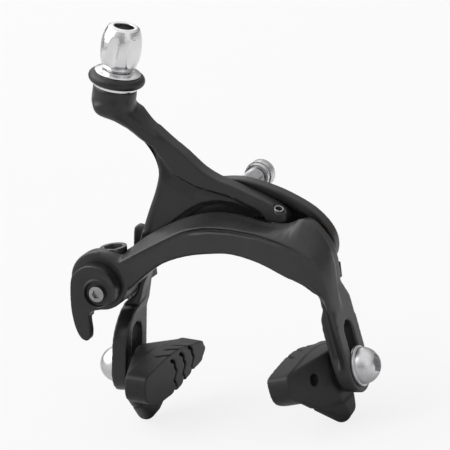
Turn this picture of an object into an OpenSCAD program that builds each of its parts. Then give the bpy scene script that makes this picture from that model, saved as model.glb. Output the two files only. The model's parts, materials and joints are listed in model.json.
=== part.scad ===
/* [Mounting] */
// Thread diameter of the mounting bolt
mount_d = 6; // [5:0.5:7]
// Length of the mounting stud behind the mounting face
stud_len = 20; // [19:0.5:24]
// Diameter of the toothed washer on the mounting face
toothed_d = 10.6; // [10:0.1:14]
// Thickness of the toothed washer
toothed_t = 1.2; // [1:0.1:2]
// Number of teeth on the toothed washer
teeth = 12; // [8:1:16]
// Thickness of the lock nut
lock_nut_t = 3; // [2.5:0.1:4]
// Distance between opposite flats of the lock nut
lock_nut_af = 10; // [9:0.5:11]
// Distance from the mounting face to the front of the mounting nut
nut_seat = 17; // [12:0.5:18]
// Diameter of the mounting nut's sleeve
nut_sleeve_d = 7.8; // [7.6:0.1:8.4]
// Diameter of the mounting nut's body
nut_body_d = 8.6; // [8.4:0.1:12]

/* [Layers] */
// Thickness of the bridge
bridge_t = 4; // [3.5:0.1:6]
// Thickness of the washer between bridge and rear arm
thrust_t = 0.4; // [0.3:0.1:1]
// Thickness of the rear arm
rear_arm_t = 5.2; // [5:0.1:7]
// Gap between the rear arm and the front arm
arm_gap = 0.4; // [0.3:0.1:1]
// Thickness of the front arm
front_arm_t = 9.4; // [8:0.1:12]

/* [Pivots] */
// Distance of the side pivot to the right of the mounting bolt
side_x = 26.5; // [24:0.5:29]
// Distance of the side pivot below the mounting bolt
side_drop = 12; // [10:0.5:14]
// Diameter of the side pivot bolt
side_d = 6; // [5:0.5:7]
// Diameter of the journal of the mounting bolt
journal_d = 8; // [7.5:0.1:9]
// Radial running clearance of both pivots
run_gap = 0.05; // [0.02:0.01:0.1]

/* [Legs] */
// Distance of the shoe bolts below the mounting bolt at the foot of the slots
reach = 50; // [48:0.5:54]
// Travel of the shoe bolts up the slots
slot_travel = 10.5; // [8:0.5:14]
// Lean of each leg away from upright
lean = 9; // [6:0.5:12]
// Distance from the centre plane to a leg's outer face at the foot of the slot
foot_x = 38.9; // [38:0.1:42]
// Thickness of a leg
leg_t = 5; // [4.5:0.1:6]
// Front to back width of a leg
leg_w = 15.6; // [14.6:0.2:17]
// Distance from the mounting face to the rim's braking plane
rim_offset = 13; // [11:0.5:15]
// Clearance of the shoe bolts in their slots
slot_gap = 0.15; // [0.1:0.05:0.4]

/* [Arch] */
// Depth of the arch's crown below the mounting bolt
crown_drop = 12.5; // [12:0.1:14]
// Height of the front arm over the crown
crown_h = 11; // [9.5:0.1:12]

/* [Quick release] */
// Distance of the lever's axis to the left of the mounting bolt
lever_x = 36.3; // [36:0.1:38]
// Distance of the lever's axis below the mounting bolt
lever_drop = 22.9; // [22:0.1:25]
// Radius of the lever's disc
lever_r = 7.2; // [6.6:0.1:7.6]
// Thickness of the lever's disc
lever_t = 4.4; // [3.5:0.1:6]
// Reach of the lever's tip below its axis
lever_len = 14.6; // [13:0.2:18]
// Eccentricity of the spindle's crank pin
crank = 1.3; // [1:0.1:1.5]
// Distance of the cable anchor to the left of the mounting bolt
anchor_x = 35.1; // [34.8:0.1:36.4]
// Diameter of the cable anchor
anchor_d = 8.2; // [7.6:0.1:8.4]
// Distance from the mounting face to the cable
cable_offset = 15; // [14:0.5:17]

/* [Barrel adjuster] */
// Lean of the barrel's axis towards the middle
barrel_lean = 17; // [12:1:20]
// Largest diameter of the barrel
barrel_d = 12.4; // [11:0.1:14]
// Diameter of the barrel's ends
barrel_end_d = 9.2; // [8.6:0.1:10.5]
// Height of the barrel
barrel_h = 13.2; // [11:0.2:15]
// Bore for the end of the cable housing
socket_d = 6; // [5:0.1:6.4]
// Depth of the housing bore
socket_h = 9; // [6:0.5:11]
// Number of flutes round the barrel
flutes = 6; // [5:1:8]
// Outer diameter of the adjuster nut's flanges
nut_d = 13.8; // [12.5:0.1:15]
// Outer diameter of the rubber grip ring
grip_d = 17; // [15.5:0.1:18]
// Thickness of the rubber grip ring
grip_t = 3.2; // [2.6:0.1:3.6]
// Thread diameter under the barrel
thread_d = 7; // [6:0.1:8]
// Length of the thread under the barrel
thread_h = 14; // [12:0.5:15]

/* [Shoes] */
// Diameter of a shoe bolt's flange
flange_d = 12.3; // [11:0.1:14]
// Thickness of the flat washers on the shoe bolts
washer_t = 1; // [0.8:0.1:1.5]
// Height of a shoe bolt's dome
dome_h = 5.6; // [4.5:0.1:7]
// Thread diameter of a shoe bolt
shoe_bolt_d = 6; // [5:0.5:6]
// Distance between opposite flats of the key sockets
key_af = 5; // [4:0.5:5]
// Thickness of a shoe from its seat to its braking face
shoe_t = 12.8; // [11.6:0.1:14]
// Tilt of the right shoe, rear end down
right_tilt = 0; // [-10:1:10]
// Tilt of the left shoe, rear end down
left_tilt = 0; // [-10:1:10]
// Depth of the grooves in the braking face
groove_h = 1.6; // [1:0.1:3]

/* [Spring] */
// Diameter of the spring wire
wire_d = 2.2; // [1.8:0.1:2.6]
// Radius of the spring's arch
spring_r = 60; // [56:1:64]
// Half angle of the spring's arch
spring_half = 31; // [30:0.5:32]

/* [Centring screw] */
// Thread diameter of the centring screw
centring_d = 3; // [3:0.1:4.5]
// Length of the centring screw
centring_h = 6; // [5.4:0.1:7]

/* [Hidden] */
$fn = 64;

// Distances in front of the mounting face
lock_nut_front = toothed_t + lock_nut_t;
bridge_front = lock_nut_front + bridge_t;
rear_arm_back = bridge_front + thrust_t;
rear_arm_front = rear_arm_back + rear_arm_t;
front_arm_back = rear_arm_front + arm_gap;
front_arm_front = front_arm_back + front_arm_t;
web_front = rear_arm_front - 1.3;
step_front = front_arm_front - 0.8;
leg_back = rim_offset - leg_w / 2;
leg_front = rim_offset + leg_w / 2;
bush_flange_t = 0.6;
// The bolt is thicker in front of the mounting face, and its stud ends in a slimmer tip for the nut
core_d = mount_d + 0.4;
stud_tip_d = mount_d - 0.8;
bush_wall = 1.5;
side_bush_d = side_d + 2 * bush_wall;
side_flange_d = side_d + 7;
boss_back = bridge_front + bush_flange_t + 0.2;
side_z = -side_drop;
lever_z = -lever_drop;
crown_z = -crown_drop;
eps = 0.02;

colour_black = [0.06, 0.06, 0.065];
colour_chrome = [0.8, 0.8, 0.82];
colour_steel = [0.55, 0.55, 0.57];
colour_rubber = [0.11, 0.11, 0.115];
colour_plastic = [0.3, 0.3, 0.28];
colour_brass = [0.72, 0.58, 0.3];

// Point of a smooth curve between b and c, with neighbours a and d
function curve_point(a, b, c, d, t) =
    0.5 * (2 * b + (c - a) * t + (2 * a - 5 * b + 4 * c - d) * t * t + (3 * b - a - 3 * c + d) * t * t * t);
// Smooth open curve through the points
function smooth(p, n) = [
    for (i = [0:len(p) - 2], k = [0:n - 1])
        curve_point(p[max(i - 1, 0)], p[i], p[i + 1], p[min(i + 2, len(p) - 1)], k / n),
    p[len(p) - 1]
];
// Smooth closed outline through the points
function smooth_loop(p, n) = [
    for (i = [0:len(p) - 1], k = [0:n - 1])
        curve_point(p[(i + len(p) - 1) % len(p)], p[i], p[(i + 1) % len(p)], p[(i + 2) % len(p)], k / n)
];
// Side of a leg's outer face at a depth below the mounting bolt
function leg_x(depth) = foot_x - (reach - depth) * tan(lean);
function leg_inner_x(depth) = leg_x(depth) - leg_t / cos(lean);
// A leg's thickness at its waist, above the slot
front_waist = 3.9;
rear_waist = 6;
waist_depth = 30;

// Extrudes an outline of the front view between two distances in front of the mounting face
module plate(back, front) {
    translate([0, -back, 0]) rotate([90, 0, 0]) linear_extrude(front - back) children();
}
// Round bar along Y between two distances in front of the mounting face
module bar(x, z, d, back, front) {
    translate([x, -back, z]) rotate([90, 0, 0]) cylinder(d = d, h = front - back);
}
// Hexagonal bar along Y, measured across its flats
module hex_bar(x, z, af, back, front) {
    translate([x, -back, z]) rotate([90, 0, 0]) cylinder(d = af / cos(30), h = front - back, $fn = 6);
}
// Skin over sections that share one number of points
module loft(sections) {
    m = len(sections[0]);
    n = len(sections);
    points = [for (s = sections, p = s) p];
    sides = [
        for (i = [0:n - 2], k = [0:m - 1], half = [0, 1])
            half == 0
                ? [i * m + k, (i + 1) * m + (k + 1) % m, (i + 1) * m + k]
                : [i * m + k, i * m + (k + 1) % m, (i + 1) * m + (k + 1) % m]
    ];
    start = [for (k = [1:m - 2]) [0, k + 1, k]];
    end = [for (k = [1:m - 2]) [(n - 1) * m, (n - 1) * m + k, (n - 1) * m + k + 1]];
    polyhedron(points = points, faces = concat(sides, start, end), convexity = 8);
}

// Places a shoe's own frame on a leg: +X along the bolt and out, +Y to the rear, +Z up
module on_leg(side, depth) {
    translate([side * leg_x(depth), -rim_offset, -depth])
        mirror([side < 0 ? 1 : 0, 0, 0]) rotate([0, -lean, 0]) children();
}

// ---- Bridge and what is fixed to it ----
bridge_outline = smooth_loop([
    [-9, -1], [-7, 4.4], [-1.8, 6.4], [5.7, 6.5], [13.6, 4.3], [side_x - 5.8, side_z + 13.2],
    [side_x + 1.2, side_z + 8.8], [side_x + 5.8, side_z + 3.6], [side_x + 7.4, side_z - 1.2],
    [side_x + 6.4, side_z - 5.8], [side_x + 3.2, side_z - 7.8], [side_x - 2, side_z - 8.1],
    [side_x - 8, side_z - 4.6], [12, -11.6], [5, -11.8], [-5, -11.8], [-8.4, -7]
], 4);

module arm_bridge() {
    color(colour_black) difference() {
        plate(lock_nut_front, bridge_front) polygon(bridge_outline);
        bar(0, 0, core_d, lock_nut_front - 1, bridge_front + 1);
        bar(side_x, side_z, side_bush_d, lock_nut_front - 1, bridge_front + 1);
    }
}

head_t = 1.7;
head_d = 11;
// Radial gap round the bolt head in the rear arm, and the cover over the head
head_gap = 0.3;
cap_t = 0.5;
head_back = web_front - cap_t - head_t;
centre_bush_d = journal_d + 2.4;
module mounting_bolt() {
    color(colour_steel) difference() {
        union() {
            bar(0, 0, stud_tip_d, -stud_len, 0);
            bar(0, 0, mount_d, 0.2 - nut_seat, 0);
            bar(0, 0, core_d, 0, bridge_front + eps);
            bar(0, 0, journal_d, bridge_front, head_back + eps);
            bar(0, 0, head_d, head_back, web_front - cap_t);
        }
        hex_bar(0, 0, key_af, web_front - cap_t - 2.5, web_front);
    }
}

module pivot_cap() {
    color(colour_black) bar(0, 0, head_d + 2 * head_gap, web_front - cap_t + 0.1, web_front);
}

module lock_nut() {
    color(colour_steel) difference() {
        hex_bar(0, 0, lock_nut_af, toothed_t, lock_nut_front);
        bar(0, 0, core_d, 0, lock_nut_front + 1);
    }
}

module toothed_washer() {
    tooth_h = 0.8;
    tooth_root = 0.3;
    tooth_w = 1.6;
    color(colour_steel) difference() {
        union() {
            bar(0, 0, toothed_d - 2 * tooth_h, 0, toothed_t);
            for (i = [0:teeth - 1]) rotate([0, i * 360 / teeth, 0])
                translate([toothed_d / 2 - tooth_h - tooth_root, -toothed_t, -tooth_w / 2])
                    cube([tooth_h + tooth_root, toothed_t, tooth_w]);
        }
        bar(0, 0, core_d, -1, toothed_t + 1);
    }
}

nut_sleeve_h = 1.8;
nut_body_h = 3.2;
module mounting_nut() {
    back = nut_seat + nut_sleeve_h + nut_body_h;
    color(colour_chrome) difference() {
        union() {
            bar(0, 0, nut_sleeve_d, -nut_seat - nut_sleeve_h, -nut_seat);
            bar(0, 0, nut_body_d, -back, -nut_seat - nut_sleeve_h);
        }
        bar(0, 0, stud_tip_d + 2 * run_gap, -stud_len - 0.5, -nut_seat + 1);
        hex_bar(0, 0, key_af, -back - 1, -stud_len);
    }
}

module thrust_washer() {
    color(colour_plastic) difference() {
        bar(0, 0, 13, bridge_front, rear_arm_back);
        bar(0, 0, journal_d + 2 * run_gap, bridge_front - 1, rear_arm_back + 1);
    }
}

module side_bush() {
    color(colour_brass) difference() {
        union() {
            bar(side_x, side_z, side_bush_d, lock_nut_front, bridge_front);
            bar(side_x, side_z, side_flange_d, bridge_front, bridge_front + bush_flange_t);
        }
        bar(side_x, side_z, side_d + 2 * run_gap, 0, boss_back + 1);
    }
}

spring_top = -13.2;
spring_z = spring_top - spring_r;
spring_f = lock_nut_front - wire_d / 2 - 0.4;
module return_spring() {
    color(colour_steel) translate([0, -spring_f, spring_z]) rotate([90, 0, 0])
        rotate([0, 0, 90 - spring_half]) rotate_extrude(angle = 2 * spring_half)
            translate([spring_r, 0]) circle(d = wire_d, $fn = 32);
}

saddle_h = 7.4;
module spring_saddle() {
    top = spring_top + wire_d / 2 + saddle_h - 4.4;
    color(colour_plastic) difference() {
        translate([-5, -lock_nut_front, top - saddle_h]) cube([10, lock_nut_front - 1, saddle_h]);
        translate([0, -spring_f, spring_z]) rotate([90, 0, 0])
            rotate_extrude(angle = 180) translate([spring_r, 0]) circle(d = wire_d + 0.1, $fn = 32);
    }
}

// ---- Front arm ----
// Guide curves of the front arm in the front view: underside, crease and ridge
arch_low = smooth([
    [-32.6, crown_z - 14], [-29.1, crown_z - 11.6], [-22.7, crown_z - 6.9], [-16.2, crown_z - 2.9],
    [-8.4, crown_z - 0.7], [-0.8, crown_z], [6.6, crown_z - 0.2], [15.2, crown_z - 3],
    [23.8, crown_z - 7.7], [27.5, crown_z - 8.8], [30, crown_z - 10.3], [31.5, -25.4],
    [leg_x(waist_depth) - front_waist - 0.1, -29], [leg_x(waist_depth) - front_waist, -33]
], 3);
arch_crease = smooth([
    [-33, crown_z - 3.6], [-30, crown_z - 2.4], [-22.6, crown_z + 0.9], [-15.4, crown_z + 4.1],
    [-7.6, crown_z + 7.2], [-0.4, crown_z + 8.2], [6.8, crown_z + 7.7], [14.9, crown_z + 6.2],
    [23.3, crown_z + 3.3], [28, side_z + 0.4], [31.4, side_z - 2.2], [33.6, -19], [leg_x(25) - 0.6, -25],
    [leg_x(33) - 1.3, -33]
], 3);
arch_ridge = smooth([
    [-32.4, crown_z - 0.6], [-29.6, crown_z + 0.2], [-23.4, crown_z + 4], [-15.4, crown_z + 7.6],
    [-7.6, crown_z + 10], [0.2, crown_z + crown_h], [8.4, crown_z + 9.9], [15.7, crown_z + 7.7],
    [22.6, side_z + 6.7], [28, side_z + 8.1], [33, side_z + 3.4], [35.8, side_z - 3.4], [36.1, -24],
    [leg_x(33), -33]
], 3);
// Distances of the crease, the underside's edge and the ridge's edge in front of the mounting face
arch_depth = smooth(concat(
    [for (i = [0:10]) [front_arm_front - 0.2, step_front, front_arm_back + 2.4]],
    [[front_arm_front - 1, step_front - 0.8, front_arm_back + 3]],
    [[front_arm_front - 2, step_front - 1.6, front_arm_back + 4.2]],
    [[leg_front + 0.1, leg_front, leg_front - 1]]
), 3);

// One cross-section of the arch
function arch_section(i) =
    let (low = arch_low[i], crease = arch_crease[i], ridge = arch_ridge[i])
    let (up = (ridge - low) / norm(ridge - low))
    let (l = low, c = crease, r = ridge)
    let (front = arch_depth[i][0], step = arch_depth[i][1], edge = arch_depth[i][2])
    [
        [l[0], -front_arm_back, l[1]],
        [l[0], -step + 0.6, l[1]],
        [l[0] + 0.6 * up[0], -step, l[1] + 0.6 * up[1]],
        [c[0] - 0.5 * up[0], -step, c[1] - 0.5 * up[1]],
        [c[0], -front, c[1]],
        [c[0] + 0.5 * up[0], -front, c[1] + 0.5 * up[1]],
        [r[0] - 0.8 * up[0], -edge, r[1] - 0.8 * up[1]],
        [r[0], -front_arm_back, r[1]]
    ];

// Slab behind the arch's sloped shoulder, and how far forward it reaches
shoulder_front = front_arm_back + 2;
shoulder_outline = smooth_loop([
    [13, side_z + 4], [18.6, side_z + 5.6], [22.1, side_z + 5.6], [27.7, side_z + 6.8], [31.8, side_z + 3],
    [34.6, side_z - 2.6], [35.2, -20], [leg_x(27) - 0.4, -27], [leg_x(32), -32],
    [leg_x(32) - front_waist - 1.5, -32], [leg_x(28) - front_waist - 1.6, -28], [27.6, crown_z - 13.5],
    [25.3, crown_z - 11.7], [21.2, crown_z - 9.4], [17.6, crown_z - 5.5], [14, crown_z - 0.5]
], 4);

// Front view of a leg below a depth, with its thickness at the waist
module leg_front_view(top, waist) {
    low = reach + leg_w;
    slot_top = max(reach - slot_travel - flange_d / 2, waist_depth + 0.5);
    polygon([
        [leg_x(top), -top], [leg_x(low), -low], [leg_inner_x(low), -low], [leg_inner_x(slot_top), -slot_top],
        [leg_x(waist_depth) - waist, -waist_depth], [leg_x(waist_depth) - waist, -top]
    ]);
}
// Side view of the front arm's leg: front to back along X, height along Y
module front_leg_side() {
    translate([-rim_offset, -reach]) circle(d = leg_w);
    polygon([
        [-leg_front, -reach], [-leg_back, -reach], [-leg_back, -30], [-boss_back, -24], [-boss_back, -22],
        [-leg_front + 3, -30], [-leg_front, -33]
    ]);
}
// Side view of the rear arm's leg, which comes forward below the front arm's end
module rear_leg_side() {
    translate([-rim_offset, -reach]) circle(d = leg_w);
    polygon(concat(
        [[-leg_back, -reach], [-leg_back, -26]],
        smooth([
            [-rear_arm_back, -30.2], [-rear_arm_front, -31.7], [-leg_front + 5.4, -32.8],
            [-leg_front + 2.4, -36], [-leg_front + 0.4, -41], [-leg_front, -reach]
        ], 4)
    ));
}
module side_plate(view_from, view_to) {
    translate([view_from, 0, 0]) rotate([90, 0, 90]) linear_extrude(view_to - view_from) children();
}

// Slot for a shoe bolt, in the frame of its leg, with spare room past both ends of its travel
slot_end = 0.6;
module shoe_slot() {
    w = shoe_bolt_d + 2 * slot_gap;
    travel = slot_travel / cos(lean);
    for (z = [-slot_end, travel + slot_end]) translate([-leg_t * 2, 0, z]) rotate([0, 90, 0])
        cylinder(d = w, h = leg_t * 4);
    translate([-leg_t * 2, -w / 2, -slot_end]) cube([leg_t * 4, w, travel + 2 * slot_end]);
}

housing_r = 9.2;
housing_x = -37.2;
housing_z = -20.2;
module front_arm() {
    color(colour_black) difference() {
        union() {
            loft([for (i = [0:len(arch_low) - 1]) arch_section(i)]);
            plate(front_arm_back, shoulder_front) polygon(shoulder_outline);
            intersection() {
                plate(boss_back, front_arm_back + eps) polygon(shoulder_outline);
                plate(boss_back - 1, front_arm_front) translate([side_x + 4, side_z - 4]) circle(r = 13.3);
            }
            intersection() {
                plate(0, front_arm_front + 5) leg_front_view(24, front_waist);
                side_plate(20, 60) front_leg_side();
            }
            bar(housing_x, housing_z, 2 * housing_r, front_arm_back, front_arm_front);
        }
        on_leg(1, reach) shoe_slot();
        // Threaded hole for the side pivot bolt
        bar(side_x, side_z, side_d, boss_back - 1, boss_back + 9);
        // Bearing of the lever's spindle, and the pocket of the cable anchor
        bar(-lever_x, lever_z, spindle_d + 2 * run_gap, front_arm_back - 1, front_arm_front + 1);
        translate([-anchor_x, -cable_offset, lever_z - 5.8]) cylinder(d = pocket_d, h = 20);
        // Seat of the centring screw's tip, long enough for the tip's travel
        for (k = [0:3]) translate([-0.5 * k, 0, 0.2 * k]) on_centring() {
            translate([0, 0, centring_d / 2]) sphere(d = centring_d + 1);
            translate([0, 0, centring_d / 2]) cylinder(d = centring_d + 1, h = 12);
        }
    }
}

side_head_d = side_d + 3.5;
module side_pivot_bolt() {
    color(colour_steel) difference() {
        union() {
            bar(side_x, side_z, side_d, lock_nut_front - 1, boss_back + 8);
            bar(side_x, side_z, side_head_d, lock_nut_front - 2.4, lock_nut_front - 0.1);
        }
        hex_bar(side_x, side_z, 4, lock_nut_front - 3, lock_nut_front - 0.6);
    }
}

// Block with a groove for the spring's end, between two sides and two heights
module spring_slider(x1, x2, z1, z2, back) {
    color(colour_plastic) difference() {
        translate([x1, -back, z1]) cube([x2 - x1, back - spring_f + wire_d / 2 + 0.6, z2 - z1]);
        translate([0, -spring_f, spring_z]) rotate([90, 0, 0])
            rotate_extrude(angle = 180) translate([spring_r, 0]) circle(d = wire_d + 0.5, $fn = 32);
    }
}
module right_spring_slider() {
    spring_slider(side_x + 1.2, side_x + 5.4, side_z - 14, side_z - 9.4, boss_back);
}
module left_spring_slider() { spring_slider(-33, -28.6, -25, -16, leg_back); }

// ---- Rear arm ----
head_x = -26.9;
head_z = 37.7;
// Places the adjuster's own frame on the rear arm's head: +Z along the barrel
module on_head() {
    translate([head_x, -cable_offset, head_z]) rotate([0, barrel_lean, 0]) children();
}

rear_arm_outline = smooth_loop([
    [-22.9, 31], [-18.9, 26.1], [-13.4, 20.4], [-8.4, 15.9], [-4.1, 11.4], [0.4, 8.3], [5.4, 6.1],
    [10.7, 3.6], [16.7, 0.6], [20.8, -2.4], [21.8, -5], [19.6, -6], [15.5, -5], [11, -4.6], [7.4, -7],
    [0, -10.4],
    [-9, -12], [-18, -15.6], [-24.6, -20], [-28.2, -25], [-leg_inner_x(31), -31],
    [-leg_x(31), -31], [-31.2, -27.4], [-29.6, -22], [-28.8, -14], [-26.1, -7.3], [-23.5, -1.7], [-20.8, 3.6],
    [-19, 8.2], [-18.8, 10.9], [-19.8, 15], [-22.4, 19.4], [-25.6, 23.2], [-30, 26.4]
], 3);
// Flange behind the plate, from beside the hub down to the leg
rear_flange_outline = smooth_loop([
    [-30.6, -8.1], [-28.6, -7.6], [-26.4, -10], [-26.6, -18], [-28.4, -25], [-leg_inner_x(32), -32],
    [-leg_x(32), -32], [-leg_x(27), -27], [-33, -20], [-31.6, -13]
], 3);
// Line between the raised rib above and the web below, then round the whole web
web_outline = concat(smooth([
    [-26, 27], [-21.6, 23.9], [-18, 16.7], [-13.5, 9.5], [-6.6, 5.4], [4.4, 2.1], [12.8, -2.3], [16.5, -7]
], 3), [[8, -16], [-14, -30], [-40, -42], [-48, 0], [-34, 18]]);

// Guide points of the neck between head and plate: left edge, right edge, front and back
neck_left = smooth([
    [-33.6, 33.6], [-33, 30.6], [-29.8, 28], [-25.2, 24.6], [-22.2, 20.8], [-19, 16.6], [-16.2, 12.8]
], 3);
neck_right = smooth([
    [-22.8, 33.6], [-22.7, 31], [-21.4, 28.6], [-18.9, 25.2], [-15.2, 21.2], [-11.2, 17.5], [-7.8, 14.4]
], 3);
neck_depth = smooth([
    [22.2, 7.8], [21.6, 7.9], [19.4, 8.2], [16.8, 8.6], [14.8, rear_arm_back + 0.1],
    [rear_arm_front - 0.05, rear_arm_back + 0.1], [rear_arm_front - 0.1, rear_arm_back + 0.2]
], 3);
neck_sides = 16;
function neck_section(i) =
    let (mid = (neck_left[i] + neck_right[i]) / 2, half = (neck_right[i] - neck_left[i]) / 2)
    let (front = neck_depth[i][0], back = neck_depth[i][1])
    [
        for (k = [0:neck_sides - 1]) let (a = (k + 0.5) * 360 / neck_sides)
        let (u = sign(cos(a)) * pow(abs(cos(a)), 0.55), v = sign(sin(a)) * pow(abs(sin(a)), 0.55))
            [mid[0] + half[0] * u, -(front + back) / 2 + v * (front - back) / 2, mid[1] + half[1] * u]
    ];

head_outer_d = 13.3;
head_h = 6.4;
module rear_arm() {
    color(colour_black) difference() {
        union() {
            difference() {
                plate(rear_arm_back, rear_arm_front) polygon(rear_arm_outline);
                plate(web_front, rear_arm_front + 1) polygon(web_outline);
            }
            plate(leg_back, rear_arm_back + eps) polygon(rear_flange_outline);
            intersection() {
                plate(0, 40) mirror([1, 0, 0]) leg_front_view(30, rear_waist);
                side_plate(-60, -20) rear_leg_side();
            }
            on_head() translate([0, 0, -head_h]) cylinder(d = head_outer_d, h = head_h);
            loft([for (i = [0:len(neck_left) - 1]) neck_section(i)]);
            // Boss round the centring screw
            intersection() {
                on_centring() translate([0, 0, 2.4]) cylinder(d = centring_d + 2.6, h = 3);
                plate(rear_arm_back, rear_arm_front) translate([10, -14]) square(20);
            }
        }
        bar(0, 0, head_d + 2 * head_gap, head_back - eps, rear_arm_front + 1);
        bar(0, 0, centre_bush_d, rear_arm_back - 1, web_front);
        on_leg(-1, reach) shoe_slot();
        on_head() translate([0, 0, -20]) cylinder(d = thread_d + 0.6, h = 30);
        on_centring() translate([0, 0, -10]) cylinder(d = centring_d + 2 * run_gap, h = 20);
    }
}

module centre_bush() {
    color(colour_brass) difference() {
        bar(0, 0, centre_bush_d, rear_arm_back, head_back - eps);
        bar(0, 0, journal_d + 2 * run_gap, rear_arm_back - 1, web_front);
    }
}

// Frame of the centring screw: origin at its lower end, +Z along its axis and out
module on_centring() {
    translate([16.9, -11.1, -6.6]) rotate([14.5, 26, 0]) children();
}
module centring_screw() {
    color(colour_chrome) on_centring() difference() {
        union() {
            translate([0, 0, centring_d / 2]) cylinder(d = centring_d, h = centring_h - centring_d / 2);
            translate([0, 0, centring_d / 2]) sphere(d = centring_d);
        }
        translate([0, 0, centring_h - 2.2]) cylinder(d = 2 / cos(30), h = 3, $fn = 6);
    }
}

// ---- Barrel adjuster ----
nut_h = grip_t + 2;
module adjuster_barrel() {
    base = nut_h + 0.3;
    mid = barrel_h * 0.5;
    bow = (barrel_d - barrel_end_d) / 2;
    bow_r = (mid * mid + bow * bow) / (2 * bow);
    color(colour_chrome) on_head() difference() {
        union() {
            translate([0, 0, base]) rotate_extrude() polygon(concat(
                [[0, 0], [barrel_end_d / 2 - 0.4, 0]],
                [for (i = [0:12]) let (z = 0.4 + (barrel_h - 0.8) * i / 12)
                    [barrel_d / 2 - bow_r + sqrt(bow_r * bow_r - (z - mid) * (z - mid)), z]],
                [[barrel_end_d / 2 - 0.5, barrel_h], [0, barrel_h]]
            ));
            translate([0, 0, base - thread_h]) cylinder(d = thread_d, h = thread_h + 1);
        }
        translate([0, 0, base + barrel_h - socket_h]) cylinder(d = socket_d, h = socket_h + 1);
        translate([0, 0, base - thread_h - 1]) cylinder(d = 2.2, h = thread_h + barrel_h);
        for (i = [0:flutes - 1]) rotate([0, 0, (i + 0.5) * 360 / flutes])
            translate([barrel_d / 2 + 2.6, 0, base - 0.5]) cylinder(d = 7, h = barrel_h * 0.86);
    }
}

module adjuster_nut() {
    color(colour_chrome) on_head() difference() {
        rotate_extrude() difference() {
            polygon([
                [0, 0], [nut_d / 2 - 0.2, 0], [nut_d / 2 - 0.2, 0.8], [nut_d / 2 - 0.6, 1], [nut_d / 2, 1],
                [nut_d / 2, nut_h - 0.6], [nut_d / 2 - 1.6, nut_h], [0, nut_h]
            ]);
            translate([(grip_d - grip_t) / 2, 0.9 + grip_t / 2]) circle(d = grip_t + 0.06);
        }
        translate([0, 0, -1]) cylinder(d = thread_d + 2 * run_gap, h = nut_h + 2);
    }
}

module grip_ring() {
    color(colour_rubber) on_head() translate([0, 0, 0.9 + grip_t / 2]) rotate_extrude()
        translate([(grip_d - grip_t) / 2, 0]) circle(d = grip_t, $fn = 32);
}

// ---- Quick release and cable anchor ----
spindle_d = 5;
// Room round the anchor in the front arm
anchor_gap = 0.35;
pocket_d = anchor_d + 2 * anchor_gap;
cable_d = 2;
anchor_screw_d = 3;
anchor_screw_z = 5.6;
lever_back = front_arm_front + 0.3;
lever_front = lever_back + lever_t;
tongue_t = 3;
lever_outline = smooth_loop([
    [-8.1, 3.6], [-6.6, 6.4], [-2.6, 8.7], [2.2, 8], [5.4, 4.8], [6.3, 0.8], [4.9, -2.6], [1.6, -4.6],
    [-1.8, -5.2], [-3.4, -6.4], [-3.8, -8.6], [-3.8, -lever_len + 3.2], [-4.3, -lever_len + 0.8],
    [-5.6, -lever_len], [-7.4, -lever_len + 1.3], [-8.7, -9.4], [-9, -3.4]
], 4);

lever_screw_d = 3.4;
lever_recess_d = 7.8;
lever_recess_h = 1.6;
module release_lever() {
    color(colour_black) difference() {
        plate(lever_back, lever_front) translate([-lever_x, lever_z])
            scale(lever_r / 7.2) polygon(lever_outline);
        plate(lever_back - 1, lever_front - tongue_t)
            translate([-lever_x - 12, lever_z - lever_len - 4]) square([16, lever_len - 3.4]);
        bar(-lever_x, lever_z, lever_recess_d, lever_front - lever_recess_h, lever_front + 1);
        bar(-lever_x, lever_z, lever_screw_d, lever_back - 1, lever_front + 1);
    }
}

module lever_screw() {
    color(colour_chrome) difference() {
        union() {
            bar(-lever_x, lever_z, lever_screw_d + 1.4, lever_front - lever_recess_h, lever_front - 0.1);
            bar(-lever_x, lever_z, lever_screw_d, lever_back - 3, lever_front - lever_recess_h + eps);
        }
        hex_bar(-lever_x, lever_z, 2.5, lever_front - 1.4, lever_front + 1);
    }
}

crank_pin_d = spindle_d - 2 * crank - 0.1;
pin_gap = 0.15;
// Angle of the crank pin below its spindle's level with the lever closed
crank_start = 50;
crank_low = crank * sin(crank_start);
module lever_spindle() {
    shoulder = cable_offset + anchor_d / 2 + 0.6;
    color(colour_steel) difference() {
        union() {
            bar(-lever_x, lever_z, spindle_d, shoulder, lever_back);
            bar(-lever_x - crank * cos(crank_start), lever_z - crank_low, crank_pin_d,
                cable_offset - 1, shoulder + eps);
        }
        bar(-lever_x, lever_z, lever_screw_d, lever_back - 3, lever_back + 1);
    }
}

anchor_top = 11;
anchor_low = 5;
module cable_anchor() {
    color(colour_chrome) translate([-anchor_x, -cable_offset, lever_z]) difference() {
        union() {
            translate([0, 0, -anchor_low]) cylinder(d = anchor_d - 1, h = anchor_top + anchor_low - 2);
            translate([0, 0, anchor_top - 4]) cylinder(d = anchor_d, h = 4);
        }
        // Mouth for the cable, and the cable's way down and out at the back
        translate([0, 0, anchor_top - 2.6]) cylinder(d = 5.4 / cos(30), h = 3, $fn = 6);
        translate([0, 0, 4]) cylinder(d = cable_d, h = anchor_top);
        translate([0, 0, 4.4]) rotate([-58, 0, 0]) cylinder(d = cable_d, h = anchor_d);
        // Slot of the crank pin and thread of the clamp screw
        translate([-anchor_d, -anchor_d, -crank_low - crank_pin_d / 2 - pin_gap])
            cube([2 * anchor_d, anchor_d + 1.4, crank_pin_d + 2 * pin_gap]);
        translate([0, 1, anchor_screw_z]) rotate([-90, 0, 0]) cylinder(d = anchor_screw_d, h = anchor_d);
    }
}

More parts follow.
